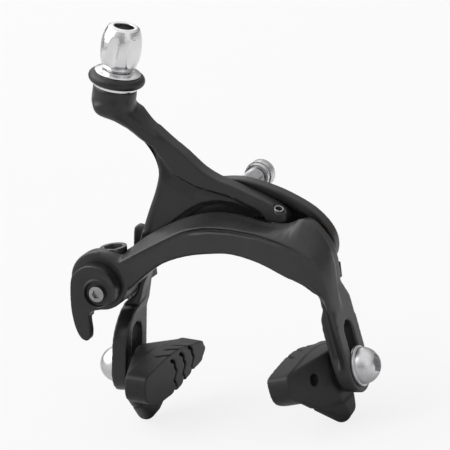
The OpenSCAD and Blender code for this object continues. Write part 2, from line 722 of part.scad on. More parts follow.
module anchor_screw() {
    color(colour_steel) translate([-anchor_x, -cable_offset, lever_z]) difference() {
        translate([0, 1.1, anchor_screw_z]) rotate([-90, 0, 0])
            cylinder(d = anchor_screw_d, h = anchor_d / 2 - 1.2);
        translate([0, 2.6, anchor_screw_z]) rotate([-90, 0, 0]) cylinder(d = 1.5 / cos(30), h = 3, $fn = 6);
    }
}

// ---- Shoes, bolts and washers ----
// Own frame: +X out along the bolt from the leg's outer face, +Y to the rear, +Z up
shoe_seat = -leg_t - washer_t;
key_depth = 3.4;
shoe_face = shoe_seat - shoe_t;

module shoe_bolt() {
    base_r = flange_d / 2 - 0.6;
    dome_r = (base_r * base_r + dome_h * dome_h) / (2 * dome_h);
    color(colour_chrome) difference() {
        union() {
            translate([shoe_seat - 6, 0, 0]) rotate([0, 90, 0])
                cylinder(d = shoe_bolt_d, h = -shoe_seat + 6 + washer_t);
            intersection() {
                translate([washer_t + dome_h - dome_r, 0, 0]) sphere(r = dome_r);
                translate([washer_t, -10, -10]) cube([20, 20, 20]);
            }
        }
        translate([washer_t + dome_h - key_depth, 0, 0]) rotate([0, 90, 0])
            cylinder(d = key_af / cos(30), h = key_depth + 1, $fn = 6);
    }
}
module flange_washer() {
    color(colour_chrome) difference() {
        rotate([0, 90, 0]) cylinder(d = flange_d, h = washer_t);
        translate([-1, 0, 0]) rotate([0, 90, 0]) cylinder(d = shoe_bolt_d + 2 * run_gap, h = washer_t + 2);
    }
}
module seat_washer() {
    color(colour_steel) difference() {
        translate([shoe_seat, 0, 0]) rotate([0, 90, 0]) cylinder(d = flange_d - 1, h = washer_t);
        translate([shoe_seat - 1, 0, 0]) rotate([0, 90, 0])
            cylinder(d = shoe_bolt_d + 2 * run_gap, h = washer_t + 2);
    }
}

// Side view of a shoe's pad, thin end at low X: along the shoe, then height
pad_t = 6.8;
pad_profile = smooth_loop([
    [-24.3, 1.6], [-24, 5.8], [-21.6, 7], [-15.5, 7.6], [-8, 8.2], [0, 8], [6, 7], [13, 5.4], [18, 4.6],
    [20, 3], [20.2, 0], [18.6, -2.2], [11.7, -2.9], [4, -4.4], [-1.6, -5.2], [-12, -5], [-18, -3.6],
    [-22.6, -1.4]
], 3);
insert_d = 9;
insert_h = 6.4;
lobe_r = 3;
lobe_x = shoe_seat - lobe_r;
// Stations of the grooves along the shoe, and their stem and hook
groove_stations = [-2, 4.6, 11];
groove_w = 1;
hook_r = 4.4;
module groove() {
    depth = groove_h + 1;
    translate([shoe_face - 1, -groove_w / 2, -4]) cube([depth, groove_w, 6]);
    translate([shoe_face - 1, 0, -4]) rotate([0, 90, 0]) cylinder(d = groove_w, h = depth);
    translate([shoe_face - 1, groove_w / 2 - hook_r, 2]) rotate([90, 0, 90]) intersection() {
        difference() {
            cylinder(r = hook_r, h = depth);
            translate([0, 0, -1]) cylinder(r = hook_r - groove_w, h = depth + 2);
        }
        cube([hook_r, hook_r, depth]);
    }
}
module shoe_body() {
    color(colour_rubber) difference() {
        union() {
            translate([shoe_face, 0, 0]) rotate([90, 0, 90]) linear_extrude(pad_t) polygon(pad_profile);
            // Back of the shoe, with the lobe under the bolt
            hull() {
                translate([shoe_face + pad_t - 0.5, 0, 0]) rotate([90, 0, 90])
                    linear_extrude(0.5) offset(delta = -0.3) polygon(pad_profile);
                translate([shoe_seat - 1, -0.5, 0]) rotate([0, 90, 0]) cylinder(r = 7.4, h = 1, $fn = 32);
                translate([lobe_x, -1.5, -12.8]) sphere(r = lobe_r, $fn = 24);
                translate([lobe_x, 2.6, -12.2]) sphere(r = lobe_r, $fn = 24);
            }
        }
        for (s = groove_stations) translate([0, s, 0]) groove();
        translate([shoe_seat - insert_h, 0, 0]) rotate([0, 90, 0]) cylinder(d = insert_d, h = 20);
        translate([shoe_seat - 5, -14, 1.8]) rotate([0, 90, 0]) cylinder(d = 3.6, h = 10);
    }
}
module shoe_insert() {
    color(colour_steel) difference() {
        translate([shoe_seat - insert_h, 0, 0]) rotate([0, 90, 0]) cylinder(d = insert_d, h = insert_h);
        translate([shoe_seat - insert_h + 0.2, 0, 0]) rotate([0, 90, 0])
            cylinder(d = shoe_bolt_d + 2 * run_gap, h = insert_h);
    }
}

module right_shoe_bolt() { on_leg(1, reach) shoe_bolt(); }
module right_flange_washer() { on_leg(1, reach) flange_washer(); }
module right_seat_washer() { on_leg(1, reach) seat_washer(); }
module right_shoe() { on_leg(1, reach) rotate([-right_tilt, 0, 0]) shoe_body(); }
module right_shoe_insert() { on_leg(1, reach) rotate([-right_tilt, 0, 0]) shoe_insert(); }
module left_shoe_bolt() { on_leg(-1, reach) shoe_bolt(); }
module left_flange_washer() { on_leg(-1, reach) flange_washer(); }
module left_seat_washer() { on_leg(-1, reach) seat_washer(); }
module left_shoe() { on_leg(-1, reach) rotate([-left_tilt, 0, 0]) shoe_body(); }
module left_shoe_insert() { on_leg(-1, reach) rotate([-left_tilt, 0, 0]) shoe_insert(); }

arm_bridge();
mounting_bolt();
pivot_cap();
lock_nut();
toothed_washer();
mounting_nut();
thrust_washer();
side_bush();
return_spring();
spring_saddle();
front_arm();
side_pivot_bolt();
right_spring_slider();
rear_arm();
centre_bush();
left_spring_slider();
centring_screw();
adjuster_barrel();
adjuster_nut();
grip_ring();
release_lever();
lever_screw();
lever_spindle();
cable_anchor();
anchor_screw();
right_shoe_bolt();
right_flange_washer();
right_seat_washer();
right_shoe();
right_shoe_insert();
left_shoe_bolt();
left_flange_washer();
left_seat_washer();
left_shoe();
left_shoe_insert();
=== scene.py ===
import json
import math

import bmesh
import bpy
from mathutils import Matrix, Vector


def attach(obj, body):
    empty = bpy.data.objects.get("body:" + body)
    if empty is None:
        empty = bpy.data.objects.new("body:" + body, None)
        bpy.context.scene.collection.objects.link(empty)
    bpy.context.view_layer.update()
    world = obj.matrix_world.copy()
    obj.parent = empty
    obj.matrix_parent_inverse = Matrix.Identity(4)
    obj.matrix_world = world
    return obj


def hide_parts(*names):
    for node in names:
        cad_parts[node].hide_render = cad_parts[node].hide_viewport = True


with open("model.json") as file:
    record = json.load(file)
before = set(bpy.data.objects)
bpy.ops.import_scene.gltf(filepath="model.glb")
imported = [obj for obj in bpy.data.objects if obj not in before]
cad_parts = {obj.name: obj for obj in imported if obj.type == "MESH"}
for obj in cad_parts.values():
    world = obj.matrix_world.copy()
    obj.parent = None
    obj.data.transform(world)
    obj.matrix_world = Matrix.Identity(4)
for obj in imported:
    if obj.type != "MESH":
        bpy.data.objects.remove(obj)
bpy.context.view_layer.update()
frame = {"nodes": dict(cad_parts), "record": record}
nodes = frame["nodes"]
mm = 0.001
wide = (-99, 99)  # a range that holds the whole brake
bodyOf = {n: b for b, names in frame["record"]["behaviour"]["bodies"].items() for n in names}
slotOf = {s["node"]: s["material_slot"] for s in frame["record"]["subparts"]}
print("frame loaded:", len(nodes), "nodes")


# Camera, floor and light
view = {
    "aim": (0.0027, -0.01537, -0.00551),
    "place": (0.41088, -0.89077, 0.25329),
    "right": (0.9128, 0.3884, -0.1261),
    "lens": 271.0,
}
studio = {
    "floorZ": -0.0672,
    "floorSize": 6.0,
    "floorDark": (0.35, 0.35, 0.35),
    "floorTones": ((0.78, 0.78, 0.78), (0.82, 0.82, 0.82)),
    "floorRough": 0.6,
    "floorGlow": 0.82,
    "dustScale": 14.0,
    "sky": ((0.0, 0.05), (0.42, 0.14), (0.52, 0.27), (0.66, 0.38), (0.82, 0.55), (1.0, 0.6)),
    "glossSky": ((0.0, 0.15), (0.42, 0.34), (0.52, 0.56), (0.66, 0.68), (0.82, 0.85), (1.0, 1.0)),
    "flags": ((0.0, 1.25), (0.16, 1.1), (0.3, 0.6), (0.42, 1.0), (0.5, 0.8), (0.6, 0.4), (0.72, 0.6),
              (0.86, 0.35)),
    "flagHeight": (0.35, 0.75),
    "turnShare": 0.15915,  # one over a full turn
}
lamps = {
    "keyLamp": {"place": (-1.0, -0.3, 0.92), "aim": (0, 0, 0), "power": 19.0, "size": (2.0, 1.5)},
    "fillLamp": {"place": (1.1, -0.7, 0.35), "aim": (0, 0, -0.02), "power": 0.7, "size": (0.8, 0.8)},
    "rimLamp": {"place": (-0.6, 0.9, 0.7), "aim": (0, 0, 0), "power": 1.5, "size": (0.8, 0.8)},
}


def turned(back, right):
    z = Vector(back).normalized()
    x = (Vector(right) - z * Vector(right).dot(z)).normalized()
    y = z.cross(x)
    return Matrix((x, y, z)).transposed().to_4x4()


def addCamera():
    data = bpy.data.cameras.new("studioCamera")
    data.lens = view["lens"]
    data.sensor_width = 36.0
    data.clip_end = 20.0
    camera = bpy.data.objects.new("studioCamera", data)
    back = Vector(view["place"]) - Vector(view["aim"])
    camera.matrix_world = Matrix.Translation(view["place"]) @ turned(back, view["right"])
    bpy.context.scene.collection.objects.link(camera)
    bpy.context.scene.camera = camera


def addLamp(name, place, aim, power, size):
    data = bpy.data.lights.new(name, "AREA")
    data.shape = "RECTANGLE"
    data.size, data.size_y = size
    data.energy = power
    lamp = bpy.data.objects.new(name, data)
    back = Vector(place) - Vector(aim)
    lamp.matrix_world = Matrix.Translation(place) @ turned(back, Vector((0, 0, 1)).cross(back))
    bpy.context.scene.collection.objects.link(lamp)


# Shader helpers
class Wire:
    # A socket that can be used in sums
    def __init__(self, recipe, socket):
        self.recipe = recipe
        self.socket = socket

    def sum(self, operation, first, second):
        return self.recipe.make("ShaderNodeMath", {"operation": operation}, {0: first, 1: second})

    def __add__(self, other):
        return self.sum("ADD", self, other)

    def __radd__(self, other):
        return self.sum("ADD", other, self)

    def __sub__(self, other):
        return self.sum("SUBTRACT", self, other)

    def __rsub__(self, other):
        return self.sum("SUBTRACT", other, self)

    def __mul__(self, other):
        return self.sum("MULTIPLY", self, other)

    def __rmul__(self, other):
        return self.sum("MULTIPLY", other, self)


class Recipe:
    def __init__(self, name, tree=None):
        if tree is None:
            self.material = bpy.data.materials.new(name)
            self.material.use_nodes = True
            tree = self.material.node_tree
        self.tree = tree
        tree.nodes.clear()

    def make(self, kind, settings=None, inputs=None, out=0):
        node = self.tree.nodes.new(kind)
        for key, value in (settings or {}).items():
            if key == "stops":
                ramp = node.color_ramp
                while len(ramp.elements) < len(value):
                    ramp.elements.new(0.5)
                for element, (place, tone) in zip(ramp.elements, value):
                    element.position = place
                    element.color = (tone, tone, tone, 1) if isinstance(tone, (int, float)) else (*tone, 1)
            else:
                setattr(node, key, value)
        for key, value in (inputs or {}).items():
            if isinstance(value, Wire):
                self.tree.links.new(value.socket, node.inputs[key])
            else:
                node.inputs[key].default_value = value
        return Wire(self, node.outputs[out])

    def place(self, scale=(1, 1, 1)):
        here = self.make("ShaderNodeTexCoord", out="Object")
        return self.make("ShaderNodeMapping", None, {"Vector": here, "Scale": scale})

    def noise(self, scale, detail=3.0, rough=0.55, vector=None):
        inputs = {"Vector": vector or self.place(), "Scale": scale, "Detail": detail, "Roughness": rough}
        return self.make("ShaderNodeTexNoise", None, inputs)

    def between(self, value, low, high, fromLow=0.0, fromHigh=1.0):
        ends = {"From Min": fromLow, "From Max": fromHigh, "To Min": low, "To Max": high}
        return self.make("ShaderNodeMapRange", None, {"Value": value, **ends})

    def mixed(self, factor, first, second, blend="MIX"):
        node = self.tree.nodes.new("ShaderNodeMix")
        node.data_type = "RGBA"
        node.blend_type = blend
        for key, value in ((0, factor), (6, first), (7, second)):
            if isinstance(value, Wire):
                self.tree.links.new(value.socket, node.inputs[key])
            else:
                node.inputs[key].default_value = value if key == 0 else (*value, 1)
        return Wire(self, node.outputs[2])

    def bump(self, height, distance):
        inputs = {"Height": height, "Strength": 1.0, "Distance": distance}
        return self.make("ShaderNodeBump", None, inputs)

    def finish(self, inputs):
        shader = self.make("ShaderNodeBsdfPrincipled", None, inputs)
        self.makeOutput("ShaderNodeOutputMaterial", shader)
        return self.material

    def makeOutput(self, kind, shader):
        node = self.tree.nodes.new(kind)
        self.tree.links.new(shader.socket, node.inputs["Surface"])


# Finishes
coat = {
    "dark": (0.014, 0.014, 0.015), "light": (0.02, 0.02, 0.021),
    "rough": 0.33, "spread": 0.12, "grain": 0.000008,
}
armCoat = {
    "dark": (0.026, 0.026, 0.0274), "light": (0.037, 0.037, 0.0385),
    "rough": 0.35, "spread": 0.12, "grain": 0.000008,
}
moulded = {
    "dark": (0.013, 0.013, 0.0135), "light": (0.022, 0.022, 0.0225),
    "rough": 0.5, "spread": 0.16, "grain": 0.00003,
}
ringRubber = {
    "dark": (0.008, 0.008, 0.008), "light": (0.013, 0.013, 0.013),
    "rough": 0.4, "spread": 0.12, "grain": 0.00001,
}
plastic = {
    "dark": (0.014, 0.014, 0.014), "light": (0.02, 0.02, 0.02),
    "rough": 0.45, "spread": 0.1, "grain": 0.000015,
}
brightChrome = {
    "dark": (0.72, 0.72, 0.73), "light": (0.84, 0.84, 0.85),
    "rough": 0.17, "spread": 0.09, "grain": 0.000005,
}
satinChrome = {
    "dark": (0.56, 0.56, 0.57), "light": (0.74, 0.74, 0.75),
    "rough": 0.3, "spread": 0.12, "grain": 0.00001,
}
zinc = {
    "dark": (0.28, 0.28, 0.285), "light": (0.4, 0.4, 0.41),
    "rough": 0.28, "spread": 0.16, "grain": 0.000008,
}
darkWire = {
    "dark": (0.1, 0.1, 0.105), "light": (0.17, 0.17, 0.175),
    "rough": 0.34, "spread": 0.14, "grain": 0.000006,
}
darkZinc = {
    "dark": (0.1, 0.1, 0.1), "light": (0.17, 0.17, 0.17),
    "rough": 0.3, "spread": 0.14, "grain": 0.000008,
}
brass = {
    "dark": (0.05, 0.04, 0.026), "light": (0.09, 0.07, 0.045),
    "rough": 0.4, "spread": 0.14, "grain": 0.000006,
}


def dullFinish(name, look, patch=95.0, pore=1500.0, specular=0.5):
    # Coated, moulded and rubber surfaces
    recipe = Recipe(name)
    cloud = recipe.noise(patch, 3.0)
    pores = recipe.noise(pore, 4.0, 0.65)
    specks = recipe.noise(pore * 4.5, 2.0)
    tone = recipe.between(cloud * 0.7 + pores * 0.3, 0.0, 1.0, 0.35, 0.65)
    rough = look["rough"] + look["spread"] * (cloud * 0.6 + specks * 0.4 - 0.5)
    return recipe.finish({
        "Base Color": recipe.mixed(tone, look["dark"], look["light"]),
        "Roughness": rough,
        "Specular IOR Level": specular,
        "Normal": recipe.bump(pores * 0.65 + specks * 0.35, look["grain"]),
    })


def metalFinish(name, look, patch=160.0, stretch=(1, 1, 1)):
    # Plated and turned metal, with fine marks along the stretch
    recipe = Recipe(name)
    cloud = recipe.noise(patch, 3.0)
    marks = recipe.noise(2600.0, 3.0, 0.6, recipe.place(stretch))
    tone = recipe.between(cloud * 0.6 + marks * 0.4, 0.0, 1.0, 0.38, 0.62)
    return recipe.finish({
        "Base Color": recipe.mixed(tone, look["dark"], look["light"]),
        "Metallic": 1.0,
        "Roughness": look["rough"] + look["spread"] * (cloud * 0.5 + marks * 0.5 - 0.4),
        "Normal": recipe.bump(marks, look["grain"]),
    })


finishOf = {
    "black_arms": dullFinish("blackCoat", coat),
    "arm_coat": dullFinish("armCoat", armCoat),
    "black_lever": dullFinish("leverCoat", coat, 130.0, 1700.0),
    "black_cover": dullFinish("coverCoat", plastic),
    "shoe_rubber": dullFinish("shoeRubber", moulded, 120.0, 1100.0, 0.42),
    "grip_rubber": dullFinish("ringRubber", ringRubber, 150.0, 1800.0),
    "nylon": dullFinish("blackNylon", plastic, 150.0, 1300.0),
    "chrome_fittings": metalFinish("brightChrome", brightChrome),
    "satin_chrome": metalFinish("satinChrome", satinChrome, 240.0),
    "dark_zinc": metalFinish("darkZinc", darkZinc, 220.0),
    "zinc_steel": metalFinish("zincSteel", zinc, 220.0, (1, 0.2, 1)),
    "spring_steel": metalFinish("drawnWire", darkWire, 200.0, (0.15, 1, 1)),
    "brass_bush": metalFinish("turnedBrass", brass, 180.0, (1, 0.15, 1)),
}
print("finishes made:", len(finishOf))


def paint(piece, material):
    piece.data.materials.clear()
    piece.data.materials.append(material)


for name, node in nodes.items():
    paint(node, finishOf[slotOf[name]])


# Mesh helpers
def toPiece(bm, name, body, slotName, sharp=None):
    bmesh.ops.recalc_face_normals(bm, faces=bm.faces)
    mesh = bpy.data.meshes.new(name)
    bm.to_mesh(mesh)
    bm.free()
    for face in mesh.polygons:
        face.use_smooth = True
    if sharp:
        mesh.set_sharp_from_angle(angle=math.radians(sharp))
    piece = bpy.data.objects.new(name, mesh)
    bpy.context.scene.collection.objects.link(piece)
    paint(piece, finishOf[slotName])
    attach(piece, body)
    return piece


def copied(*names):
    # Merged copies of CAD nodes in one mesh
    bm = bmesh.new()
    for name in names:
        bm.from_mesh(nodes[name].data)
    bmesh.ops.remove_doubles(bm, verts=bm.verts, dist=2e-6)
    return bm


def worn(bm, cell, rounds):
    # Fine even mesh over a solid, with its edges worn round
    mesh = bpy.data.meshes.new("work")
    bm.to_mesh(mesh)
    bm.free()
    work = bpy.data.objects.new("work", mesh)
    bpy.context.scene.collection.objects.link(work)
    remesh = work.modifiers.new("remesh", "REMESH")
    remesh.mode = "VOXEL"
    remesh.voxel_size = cell
    graph = bpy.context.evaluated_depsgraph_get()
    bm = bmesh.new()
    bm.from_mesh(work.evaluated_get(graph).to_mesh())
    bpy.data.objects.remove(work)
    smoothed(bm, rounds)
    return bm


def smoothed(bm, rounds, where=None):
    # The whole mesh, or only the points that a test of right, front and up picks
    chosen = [v for v in bm.verts if where is None or where(v.co.x / mm, -v.co.y / mm, v.co.z / mm)]
    for i in range(rounds):
        bmesh.ops.smooth_vert(bm, verts=chosen, factor=0.5, use_axis_x=True, use_axis_y=True, use_axis_z=True)


def ramp(value, start, end):
    # Soft step from 0 at start to 1 at end
    t = min(max((value - start) / (end - start), 0.0), 1.0)
    return t * t * (3 - 2 * t)


def bell(value, width):
    return math.exp(-(value / width) ** 2)


def inside(spot, box):
    return all(low < value < high for value, (low, high) in zip(spot, box))


def fromLine(x, z, line):
    # Signed distance to a line of points, positive on its right, and how far along it is as a share
    best = 1e9
    side = 1.0
    along = 0.0
    count = len(line) - 1
    for i in range(count):
        ax, az = line[i]
        dx = line[i + 1][0] - ax
        dz = line[i + 1][1] - az
        t = min(max(((x - ax) * dx + (z - az) * dz) / (dx * dx + dz * dz), 0.0), 1.0)
        gap = math.hypot(x - ax - t * dx, z - az - t * dz)
        if gap < best:
            best = gap
            side = 1.0 if (x - ax) * dz - (z - az) * dx > 0 else -1.0
            along = (i + t) / count
    return best * side, along


def pushed(bm, rule):
    # Moves points back along the front view by a rule of right, front and up in millimetres
    for vert in bm.verts:
        vert.co.y += rule(vert.co.x / mm, -vert.co.y / mm, vert.co.z / mm) * mm


def skinned(bm, name, sources, finish=None, sharp=None):
    piece = toPiece(bm, name, bodyOf[sources[0]], slotOf[sources[0]], sharp)
    if finish:
        paint(piece, finishOf[finish])
    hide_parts(*sources)
    print("made", name, len(piece.data.polygons), "faces")
    return piece


# Front arm
frontLook = {
    "cell": 0.3 * mm,
    "rounds": 5,
    "after": 2,
    "shoulderRounds": 12,
    "shoulderBox": ((15, 99), (17.2, 99), (-33, -2)),
    "archBox": ((-99, 26), wide, (-99, -13.5)),
    "joinRounds": 25,
    "joinBoxes": (((29, 99), wide, (-36, -14)), ((-36, -25), (17, 99), (-21, -9))),
    "rulesFrom": (-24, 17),
    "crease": ((-22.6, -11.6), (-15.4, -8.4), (-7.6, -5.3), (-0.4, -4.3), (6.8, -4.8), (14.9, -6.3),
               (23.3, -9.2), (28, -11.6), (31.4, -14.2)),
    "creaseDepth": 1.1,
    "creaseWidth": 0.6,
    "creaseBelow": 0.55,
    "creaseFront": 20,
    "creaseRight": 32,
    "creaseFade": ((0.16, 0.4), (0.6, 0.95)),
    "channelDepth": 2.0,
    "channelWidth": 1.35,
    "channelFrom": (28, -22),
    "channelFade": ((-24, -29), (-50, -45)),
    "channelIn": 3.2,
    "foot": (38.9, 50),
    "lean": 0.158,
    "housing": (-37.2, -20.2),
    "housingRound": 2.3,
    "housingDepth": (19.8, 14.6),
    "housingReach": (6, 9),
    "housingSide": (6, 2),
    "housingTop": (-4, 3),
}


def shoulder(*spot):
    return inside(spot, frontLook["shoulderBox"]) and not inside(spot, frontLook["archBox"])


def softJoin(*spot):
    # Where the leg's top meets the shoulder, and where the arch meets the lever's housing
    return any(inside(spot, box) for box in frontLook["joinBoxes"])


def roundHousing(bm):
    # Takes the housing's rear edge in toward its middle
    for vert in bm.verts:
        right = vert.co.x / mm - frontLook["housing"][0]
        up = vert.co.z / mm - frontLook["housing"][1]
        away = max(math.hypot(right, up), 0.01)
        take = frontLook["housingRound"] * ramp(-vert.co.y / mm, *frontLook["housingDepth"])
        take *= ramp(away, *frontLook["housingReach"])
        take *= ramp(right, *frontLook["housingSide"]) * ramp(up, *frontLook["housingTop"]) / away
        vert.co.x -= right * take * mm
        vert.co.z -= up * take * mm


def creaseRule(x, f, z):
    # Groove under the crease, and a channel down the front of the leg
    left, back = frontLook["rulesFrom"]
    if f < back or x < left:
        return 0.0
    inner, top = frontLook["channelFrom"]
    if z < top and x > inner:
        footX, reach = frontLook["foot"]
        middle = footX - (reach + z) * frontLook["lean"] - frontLook["channelIn"]
        start, end = frontLook["channelFade"]
        ends = ramp(z, *start) * ramp(z, *end)
        return frontLook["channelDepth"] * ends * bell(x - middle, frontLook["channelWidth"])
    if f < frontLook["creaseFront"] or x > frontLook["creaseRight"]:
        return 0.0
    gap, along = fromLine(x, z, frontLook["crease"])
    start, end = frontLook["creaseFade"]
    fade = ramp(along, *start) * (1 - ramp(along, *end))
    return frontLook["creaseDepth"] * fade * bell(gap - frontLook["creaseBelow"], frontLook["creaseWidth"])


bm = worn(copied("front_arm"), frontLook["cell"], frontLook["rounds"])
roundHousing(bm)
smoothed(bm, frontLook["shoulderRounds"], shoulder)
smoothed(bm, frontLook["joinRounds"], softJoin)
pushed(bm, creaseRule)
smoothed(bm, frontLook["after"])
skinned(bm, "frontArmSkin", ["front_arm"], "arm_coat")

# Rear arm
rearLook = {
    "cell": 0.3 * mm,
    "rounds": 6,
    "after": 3,
    "neckRounds": 40,
    "neckBox": (wide, wide, (24, 36.2)),
    "webDepth": (11, 14),
    "webHeight": (-20, 26),
    "rib": ((-26, 27), (-21.6, 23.9), (-18, 16.7), (-13.5, 9.5), (-6.6, 5.4), (4.4, 2.1), (12.8, -2.3),
            (16.5, -7)),
    "shade": ((-18.4, -8.3), (-14.7, -5.6), (-10.3, -2.8), (-5.4, -0.4), (-0.1, 0.5), (5.4, -0.2),
              (9.9, -2.1), (14.8, -4), (18.2, -5.6)),
    "ribEdge": -0.4,
    "ribFade": (0.06, 0.26),
    "shadeDepth": 1.5,
    "shadeSoft": (-1.0, 0.4),
    "shadeFade": ((0.02, 0.2), (1.0, 0.9)),
    "grooveDepth": 1.7,
    "grooveWidth": 2.1,
    "groovePlace": 0.9,
    "webDish": 0.7,
    "dishSoft": (0.5, 4.0),
    "edge": ((-26.1, -7.3), (-23.5, -1.7), (-20.8, 3.6), (-19, 8.2), (-18.8, 10.9), (-19.8, 15),
             (-22.4, 19.4)),
    "edgeDrop": 1.0,
    "edgeSoft": 2.0,
    "lipWidth": 3.0,
    "ribOverHub": 6.6,
    "ribFront": 13.75,
    "ribDepth": (12, 13.7),
    "ribSoft": -0.5,
    "hubRadius": 6.2,
    "hubFrom": 9.4,
    "hubTo": 12.3,
}


def webRule(x, f, z):
    # Carries the rib over the hub, and steps, grooves and dishes the web under it
    back, front = rearLook["webDepth"]
    low, high = rearLook["webHeight"]
    if f < back or f > front or z > high or z < low:
        return 0.0
    gap, along = fromLine(x, z, rearLook["rib"])
    back, front = rearLook["ribDepth"]
    if math.hypot(x, z) < rearLook["ribOverHub"] and back < f < front and gap < 0:
        return (f - rearLook["ribFront"]) * ramp(gap, 0.0, rearLook["ribSoft"])
    if gap < rearLook["ribEdge"]:
        return 0.0
    ribShare = ramp(along, *rearLook["ribFade"])
    line, share = fromLine(x, z, rearLook["shade"])
    start, end = rearLook["shadeFade"]
    shade = rearLook["shadeDepth"] * ramp(line, *rearLook["shadeSoft"])
    shade *= ramp(share, *start) * ramp(share, *end)
    groove = rearLook["grooveDepth"] * bell(gap - rearLook["groovePlace"], rearLook["grooveWidth"]) * ribShare
    dish = rearLook["webDish"] * ramp(gap, *rearLook["dishSoft"]) * ribShare
    edge = abs(fromLine(x, z, rearLook["edge"])[0])
    lip = ramp(edge, rearLook["lipWidth"], 0.0)
    drop = rearLook["edgeDrop"] * ramp(edge, rearLook["edgeSoft"], 0.0) * lip
    return max(groove, shade) + dish * (1 - lip) + drop


def neck(*spot):
    return inside(spot, rearLook["neckBox"])


def fillHub(bm):
    depth = rearLook["hubTo"] - rearLook["hubFrom"]
    middle = -(rearLook["hubFrom"] + depth / 2) * mm
    place = Matrix.Translation((0, middle, 0)) @ Matrix.Rotation(math.pi / 2, 4, "X")
    radius = rearLook["hubRadius"] * mm
    bmesh.ops.create_cone(bm, cap_ends=True, segments=64, radius1=radius, radius2=radius,
                          depth=depth * mm, matrix=place)


bm = copied("rear_arm", "pivot_cap")
fillHub(bm)
bm = worn(bm, rearLook["cell"], rearLook["rounds"])
smoothed(bm, rearLook["neckRounds"], neck)
pushed(bm, webRule)
smoothed(bm, rearLook["after"])
skinned(bm, "rearArmSkin", ["rear_arm", "pivot_cap"])

# Bridge
bridgeLook = {
    "cell": 0.25 * mm,
    "rounds": 6,
    "after": 2,
    "front": 7,
    "dish": 2.6,
    "dishSoft": (2.4, 3.6),
    "dishFade": (0.1, 0.2),
    "rim": ((-9, -1), (-7, 4.4), (-1.8, 6.4), (5.7, 6.5), (13.6, 4.3), (20.7, 1.2), (27.7, -3.2),
            (32.3, -8.4), (33.9, -13.2), (32.9, -17.8), (29.7, -19.8)),
}


def dishRule(x, f, z):
    if f < bridgeLook["front"]:
        return 0.0
    gap, along = fromLine(x, z, bridgeLook["rim"])
    return bridgeLook["dish"] * ramp(gap, *bridgeLook["dishSoft"]) * ramp(along, *bridgeLook["dishFade"])


bm = worn(copied("arm_bridge"), bridgeLook["cell"], bridgeLook["rounds"])
pushed(bm, dishRule)
smoothed(bm, bridgeLook["after"])
skinned(bm, "armBridgeSkin", ["arm_bridge"])

# Quick release lever
leverLook = {
    "cell": 0.16 * mm,
    "rounds": 5,
    "after": 2,
    "pivot": (-36.3, -22.9),
    "front": 26.5,
    "dish": 0.65,
    "middle": 5.0,
    "dishWidth": 1.0,
    "dishEdge": (7.2, 6.4),
    "toward": (0.5, 0.87),
    "turnSoft": (-0.5, 0.5),
}


def leverRule(x, f, z):
    if f < leverLook["front"]:
        return 0.0
    right = x - leverLook["pivot"][0]
    up = z - leverLook["pivot"][1]
    away = math.hypot(right, up)
    sideways, upward = leverLook["toward"]
    toward = ramp((right * sideways + up * upward) / max(away, 0.1), *leverLook["turnSoft"])
    dish = leverLook["dish"] * toward * bell(away - leverLook["middle"], leverLook["dishWidth"])
    return dish * ramp(away, *leverLook["dishEdge"])


bm = worn(copied("release_lever"), leverLook["cell"], leverLook["rounds"])
pushed(bm, leverRule)
smoothed(bm, leverLook["after"])
skinned(bm, "leverSkin", ["release_lever"])

# Barrel and shoes
barrelLook = {"cell": 0.13 * mm, "rounds": 3}
skinned(worn(copied("adjuster_barrel"), **barrelLook), "barrelSkin", ["adjuster_barrel"])
shoeLook = {
    "cell": 0.24 * mm,
    "rounds": 4,
    "after": 1,
    "bolt": (38.9, -13, -50),
    "lean": 9,
    "face": -18.8,
    "nearFace": (5, 1),
    "stations": (-2, 4.6, 11),
    "notch": 1.1,
    "notchWidth": 0.75,
    "notchLow": (-1.0, -3.2),
    "wave": 0.7,
    "waveTurn": 1.25,
    "waveTop": (4, 2.5),
    "waveFront": (-7, -4),
    "topGroove": 0.8,
    "topWidth": 0.5,
    "topShift": 4.4,
    "topSlant": 0.9,
    "topFade": (4, 2.5),
    "topFrom": 2,
    "topFacing": 0.4,
    "seam": 0.45,
    "seamWidth": 0.45,
    "seamPlace": -4.6,
    "seamSlant": 0.33,
    "seamFrom": 2,
}


def shoeFrame(side):
    # Own frame of a shoe: right along the bolt and out, back, up
    sign = 1 if side == "right" else -1
    right, back, up = shoeLook["bolt"]
    place = Matrix.Translation((sign * right * mm, back * mm, up * mm)) @ Matrix.Diagonal((sign, 1, 1, 1))
    return place @ Matrix.Rotation(math.radians(-shoeLook["lean"]), 4, "Y")


